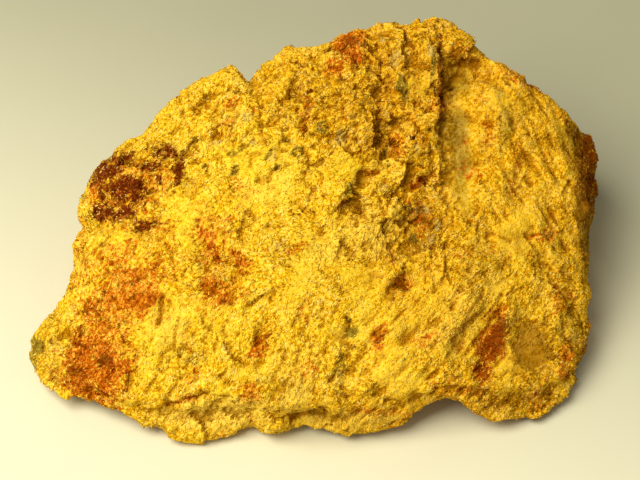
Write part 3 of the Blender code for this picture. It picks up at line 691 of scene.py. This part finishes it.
def crystal_mesh(name, crystals):
    """One joined mesh of all the crystals, in metres, with every face out."""
    count = len(crystals)
    tip, waist, next_waist = crystals[:, 1], crystals[:, 2], crystals[:, 3]
    turned = np.sum(np.cross(waist - tip, next_waist - tip) * (tip - crystals[:, 0]), axis=1)
    faces = (CRYSTAL_FACES[None] + CRYSTAL_POINTS * np.arange(count)[:, None, None]).reshape(-1, 3)
    if turned.mean() > 0.0:
        faces = faces[:, ::-1]
    mesh = bpy.data.meshes.new(name)
    mesh.vertices.add(CRYSTAL_POINTS * count)
    mesh.vertices.foreach_set("co", (crystals * MM).ravel())
    mesh.loops.add(3 * len(faces))
    mesh.loops.foreach_set("vertex_index", faces.ravel().astype(np.int32))
    mesh.polygons.add(len(faces))
    mesh.polygons.foreach_set("loop_start", np.arange(0, 3 * len(faces), 3, dtype=np.int32))
    mesh.update(calc_edges=True)
    bake_layout(mesh, len(faces))
    return mesh


def make_crystals(name, skin, seed, count, sizes, stand):
    """Scatters one size of crystal over the skin."""
    rng = np.random.default_rng(seed)
    spot, outward, corner_point = scattered(skin, count, rng)
    face, facing = face_coordinates(spot), facing_of(outward)
    zone = zones(face, facing)
    axes = crystal_axes(face, outward, zone, rng)
    worn = zone["trough"] + 0.5 * zone["smooth"] + 0.4 * zone["flank"] + 0.5 * powdery(face)
    length = np.exp(rng.uniform(math.log(sizes[0]), math.log(sizes[1]), count))
    length = (length * (1.0 - 0.45 * np.clip(worn, 0.0, 1.0)))[:, None]
    width = length * rng.uniform(0.24, 0.44, count)[:, None]
    thick = length * rng.uniform(0.22, 0.38, count)[:, None]
    crystals = crystal_points(spot + outward * (length * stand), axes, length, width, thick, rng)
    mesh = crystal_mesh(name, crystals)
    masks = speckled(stains(face, facing), rng)
    masks["tone"] = rng.uniform(0.0, 1.0, count)
    # painted shade in hollows, taken from the skin point under each crystal
    masks["hollow"] = read_array(skin.attributes["hollow"].data, "value", 1)[corner_point, 0]
    set_attributes(mesh, {key: np.repeat(value, CRYSTAL_POINTS) for key, value in masks.items()})
    return linked(name, mesh)


# Materials

class Shader:
    """A small helper that adds and links the nodes of one material."""

    def __init__(self, name):
        self.material = bpy.data.materials.new(name)
        self.material.use_nodes = True
        self.nodes = self.material.node_tree.nodes
        self.links = self.material.node_tree.links
        self.surface = self.nodes["Principled BSDF"]
        place = self.nodes.new("ShaderNodeTexCoord")
        scaled = self.nodes.new("ShaderNodeMapping")
        scaled.inputs["Scale"].default_value = (1.0 / MM, 1.0 / MM, 1.0 / MM)
        self.links.new(place.outputs["Object"], scaled.inputs["Vector"])
        self.place = scaled.outputs["Vector"]

    def put(self, value, socket):
        """Sets a socket to a constant, or links it to another node's output."""
        if isinstance(value, bpy.types.NodeSocket):
            self.links.new(value, socket)
        elif isinstance(value, tuple) and len(value) == 3:
            socket.default_value = (*value, 1.0)
        else:
            socket.default_value = value

    def mask(self, name):
        """One of the masks stored on the mesh."""
        node = self.nodes.new("ShaderNodeAttribute")
        node.attribute_name = name
        return node.outputs["Fac"]

    def noise(self, size, detail=2.0, rough=0.5):
        """Noise with lumps of that size in millimetres, from nought to one."""
        node = self.nodes.new("ShaderNodeTexNoise")
        node.inputs["Scale"].default_value = 1.0 / size
        node.inputs["Detail"].default_value = detail
        node.inputs["Roughness"].default_value = rough
        self.links.new(self.place, node.inputs["Vector"])
        return node.outputs["Fac"]

    def ranged(self, value, low, high, out_low=0.0, out_high=1.0):
        """Stretches part of a value's range, and holds it at the ends."""
        node = self.nodes.new("ShaderNodeMapRange")
        node.interpolation_type = "SMOOTHSTEP"
        self.put(value, node.inputs["Value"])
        numbers = (("From Min", low), ("From Max", high), ("To Min", out_low), ("To Max", out_high))
        for socket, number in numbers:
            node.inputs[socket].default_value = number
        return node.outputs["Result"]

    def math(self, kind, first, second):
        """Arithmetic on two values."""
        node = self.nodes.new("ShaderNodeMath")
        node.operation = kind
        self.put(first, node.inputs[0])
        self.put(second, node.inputs[1])
        return node.outputs["Value"]

    def weakened(self, name, share):
        """A stored mask at a part of its strength."""
        return self.math("MULTIPLY", self.mask(name), share)

    def mixed(self, share, first, second, kind="MIX"):
        """Blends two colours."""
        node = self.nodes.new("ShaderNodeMix")
        node.data_type = "RGBA"
        node.blend_type = kind
        self.put(share, node.inputs["Factor"])
        self.put(first, node.inputs[6])
        self.put(second, node.inputs[7])
        return node.outputs[2]

    def bump(self, height, distance, strength=1.0):
        """Small relief that is finer than the mesh."""
        node = self.nodes.new("ShaderNodeBump")
        node.inputs["Distance"].default_value = distance * MM
        node.inputs["Strength"].default_value = strength
        self.links.new(height, node.inputs["Height"])
        self.links.new(node.outputs["Normal"], self.surface.inputs["Normal"])


# Colours of the crust, as linear red, green and blue. A cast is multiplied with what lies under it.
TONE_LOW = (0.62, 0.285, 0.002)
TONE_MIDDLE = (0.83, 0.505, 0.011)
BRIGHT = (0.94, 0.645, 0.040)
TONE_HIGH = (1.0, 0.755, 0.170)
# partly a duller yellow, partly painted shade towards the right and the top
OCHRE_AND_SHADE_CAST = (0.92, 0.80, 0.66)
RUST_LIGHT = (0.90, 0.330, 0.030)
RUST_MIDDLE = (0.60, 0.135, 0.003)
RUST_DEEP = (0.38, 0.046, 0.0006)
# deep brown stains, also painted shade in the slot beside the step
DEEP_BROWN_AND_SHADE = (0.20, 0.031, 0.001)
DARK_CRUST = (0.125, 0.010, 0.0003)
DARK_SPARK = (0.45, 0.110, 0.005)
# pale crust, also used as painted light under the ledge
PALE_CRUST_AND_PAINTED_LIGHT = (0.98, 0.69, 0.085)
GREY_SPOT = (0.58, 0.42, 0.10)
GREEN_SPOT = (0.17, 0.110, 0.010)
# multiplied where the greenish-brown patches and the painted shade lie
OLIVE_AND_SHADE_CAST = (0.53, 0.43, 0.35)
SAGE_CAST = (0.60, 0.64, 1.00)
# painted shade: multiplied into the colour where the skin lies deep in hollows, darker and more orange
HOLLOW_SHADE_CAST = (0.60, 0.46, 0.20)


def yellow_colour(shader, tone, wide):
    """The yellow crust from its low to its high tones, more even where it is powdery, under casts that partly
    paint shade and light.
    """
    even = shader.weakened("powder", 0.42)
    own = shader.math("MULTIPLY", tone, shader.math("SUBTRACT", 1.0, even))
    soft = shader.math("ADD", own, shader.math("MULTIPLY", even, 0.64))
    colour = shader.mixed(shader.ranged(soft, 0.0, 0.34), TONE_LOW, TONE_MIDDLE)
    colour = shader.mixed(shader.ranged(soft, 0.25, 0.60), colour, BRIGHT)
    colour = shader.mixed(shader.ranged(soft, 0.62, 1.05), colour, TONE_HIGH)
    # duller yellow, partly painted shade towards the right and the top
    ochre_and_shade = shader.math("ADD", shader.mask("ochre_and_shade"), shader.ranged(wide, 0.3, 0.7, -0.18, 0.18))
    colour = shader.mixed(ochre_and_shade, colour, OCHRE_AND_SHADE_CAST, "MULTIPLY")
    # pale patches, and painted light under the ledge
    colour = shader.mixed(shader.weakened("pale", 0.7), colour, PALE_CRUST_AND_PAINTED_LIGHT)
    # greenish-brown patches, partly painted shade
    colour = shader.mixed(shader.mask("olive_and_shade"), colour, OLIVE_AND_SHADE_CAST, "MULTIPLY")
    return shader.mixed(shader.mask("sage"), colour, SAGE_CAST, "MULTIPLY")


def rust_colour(shader, tone):
    """Rust from deep to light, with its brightest crystals yellow as painted sparkle."""
    rust = shader.mixed(shader.ranged(tone, 0.0, 0.45), RUST_DEEP, RUST_MIDDLE)
    rust = shader.mixed(shader.ranged(tone, 0.45, 0.80), rust, RUST_LIGHT)
    # painted sparkle: the brightest-toned rust crystals turn bright yellow
    return shader.mixed(shader.ranged(tone, 0.76, 0.96), rust, BRIGHT)


def iron_colour(shader, tone):
    """The dark iron oxide, with sparks of brown and a few painted glints."""
    iron = shader.mixed(shader.ranged(tone, 0.50, 0.92), DARK_CRUST, DARK_SPARK)
    # painted glints: the highest-toned crystals of the dark crust turn pale yellow
    return shader.mixed(shader.ranged(tone, 0.89, 0.99), iron, TONE_HIGH)


def crust_colour(shader, has_tones, fine):
    """The colours of the crust, from its masks and from noise, darkened in its hollows as painted shade."""
    wide = shader.noise(3.0, 3.0)
    if has_tones:
        tone = shader.math("ADD", shader.mask("tone"), shader.ranged(fine, 0.35, 0.65, -0.12, 0.12))
    else:
        tone = shader.ranged(fine, 0.32, 0.68, 0.0, 0.8)
    tone = shader.math("ADD", tone, shader.ranged(wide, 0.3, 0.7, -0.16, 0.16))
    green = shader.mixed(shader.ranged(tone, 0.55, 1.05), GREEN_SPOT, GREY_SPOT)
    colour = yellow_colour(shader, tone, wide)
    for kind, share, stain in (
        ("rust", 0.92, rust_colour(shader, tone)),
        # deep brown stains, partly painted shade
        ("deep", 0.85, DEEP_BROWN_AND_SHADE),
        ("dark", 0.97, iron_colour(shader, tone)),
        ("green", 0.85, green),
        ("gangue", 0.75, GREY_SPOT),
    ):
        colour = shader.mixed(shader.weakened(kind, share), colour, stain)
    # painted shade: darker and more orange where the surface lies in hollows
    hollow = shader.ranged(shader.mask("hollow"), 0.50, 0.95)
    return shader.mixed(hollow, colour, HOLLOW_SHADE_CAST, "MULTIPLY")


def crust_material(name, has_tones):
    """Earthy crust: dull, with a faint glint where the dark iron oxide is."""
    shader = Shader(name)
    fine = shader.noise(0.55, 3.0, 0.6)
    tiny = shader.noise(0.22, 2.0, 0.6)
    shader.put(crust_colour(shader, has_tones, fine), shader.surface.inputs["Base Color"])
    rough = shader.ranged(tiny, 0.3, 0.7, 0.76, 0.95)
    rough = shader.math("SUBTRACT", rough, shader.weakened("dark", 0.46))
    shader.put(rough, shader.surface.inputs["Roughness"])
    glint = shader.ranged(shader.mask("dark"), 0.0, 1.0, 0.05, 0.12)
    shader.put(glint, shader.surface.inputs["Specular IOR Level"])
    shader.surface.inputs["Specular Tint"].default_value = (1.0, 0.66, 0.20, 1.0)
    shader.bump(shader.math("ADD", fine, tiny), 0.10)
    return shader.material


# Studio

# the floor's colour near and far: the change between them is painted light falloff
FLOOR_NEAR = (0.78, 0.745, 0.515)
FLOOR_FAR = (0.395, 0.382, 0.247)
FLOOR_MOTTLE = (0.60, 0.55, 0.38)
FLOOR_FADE = (-50.0, 75.0)  # from where to where the painted light falloff darkens the floor, in millimetres away from the viewer
FLOOR_SKEW = 0.42  # how much more the painted light falloff darkens towards the right
FLOOR_SIZE = 3.0  # in metres

STUDIO_TINT = (1.0, 0.97, 0.90)
SKY_STRENGTH = 0.31
# The lights: name, the way to it in the face frame, distance and size in metres, power in watts
LIGHTS = (
    ("key", (-0.46, 0.39, 0.78), 0.62, 0.46, 5.10),
    ("fill", (-0.30, -0.62, 0.70), 0.60, 0.60, 0.35),
)
LIT_PLANE_W = 10.0  # the lights face the middle of the lump, at this height w

SCALE_PLANE_W = 25.0  # the height w at which the frame is FRAME_WIDTH wide
FRAME_WIDTH = 101.12
LENS = 150.0
SENSOR = 36.0


def floor_material():
    """A pale warm floor, painted brightest near the viewer and darker away and to the right, as painted light
    falloff.
    """
    shader = Shader("studio_floor_painted_falloff")
    split = shader.nodes.new("ShaderNodeSeparateXYZ")
    shader.links.new(shader.place, split.inputs["Vector"])
    skewed = shader.math("MULTIPLY", split.outputs["X"], FLOOR_SKEW)
    depth = shader.math("ADD", split.outputs["Y"], skewed)
    # painted light falloff across the floor
    painted_falloff = shader.mixed(shader.ranged(depth, *FLOOR_FADE), FLOOR_NEAR, FLOOR_FAR)
    mottled = shader.mixed(shader.ranged(shader.noise(30.0), 0.3, 0.7, 0.0, 0.06), painted_falloff, FLOOR_MOTTLE)
    shader.put(mottled, shader.surface.inputs["Base Color"])
    shader.surface.inputs["Roughness"].default_value = 0.8
    shader.surface.inputs["Specular IOR Level"].default_value = 0.1
    shader.bump(shader.noise(0.8), 0.01)
    return shader.material


def leaned(u, v, w):
    """Turns a step in the face frame into a step in the row's frame."""
    return Vector((u, v * OUT_W - w * UP_V, v * UP_V + w * OUT_W))


def face_point(u, v, w):
    """A point of the face frame, in the row's frame and in metres."""
    return (leaned(u, v, w) - Vector((*MIDDLE, 0.0))) * MM


def make_camera():
    """Looks square on to the broad face."""
    data = bpy.data.cameras.new("camera")
    data.lens, data.sensor_width = LENS, SENSOR
    data.clip_start, data.clip_end = 0.02, 10.0
    camera = linked("camera", data)
    way = leaned(0.0, 0.0, 1.0)
    camera.location = face_point(0.0, 0.0, SCALE_PLANE_W) + way * (FRAME_WIDTH * MM * LENS / SENSOR)
    camera.rotation_euler = way.to_track_quat("Z", "Y").to_euler()
    bpy.context.scene.camera = camera


def make_light(name, way, distance, size, power):
    """A soft square light that faces the lump."""
    data = bpy.data.lights.new(name, "AREA")
    data.size, data.energy, data.color = size, power, STUDIO_TINT
    light = linked(name, data)
    way = leaned(*way).normalized()
    light.location = face_point(0.0, 0.0, LIT_PLANE_W) + way * distance
    light.rotation_euler = way.to_track_quat("Z", "Y").to_euler()


def make_studio():
    """Floor, sky, lights and camera."""
    bpy.ops.mesh.primitive_plane_add(size=FLOOR_SIZE, location=(0.0, 0.0, 0.0))
    floor = bpy.context.object
    floor.name = "floor"
    floor.data.materials.append(floor_material())
    world = bpy.data.worlds.new("studio")
    world.use_nodes = True
    background = world.node_tree.nodes["Background"]
    background.inputs["Color"].default_value = (*STUDIO_TINT, 1.0)
    background.inputs["Strength"].default_value = SKY_STRENGTH
    bpy.context.scene.world = world
    for light in LIGHTS:
        make_light(*light)
    bpy.context.scene.view_settings.view_transform = "Standard"
    make_camera()


# Everything together

def dress():
    """Makes the skin and its crystals, and ties them to the lump."""
    skin = make_skin()
    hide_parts(NODE)
    pieces = [(skin, crust_material("crust_look", False))]
    grain_look = crust_material("grain_look", True)
    for name, seed, count, sizes, stand in CRYSTALS:
        pieces.append((make_crystals(name, skin.data, seed, count, sizes, stand), grain_look))
    for piece, look in pieces:
        piece.data.materials.clear()
        piece.data.materials.append(look)
        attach(piece, "root")


dress()
make_studio()
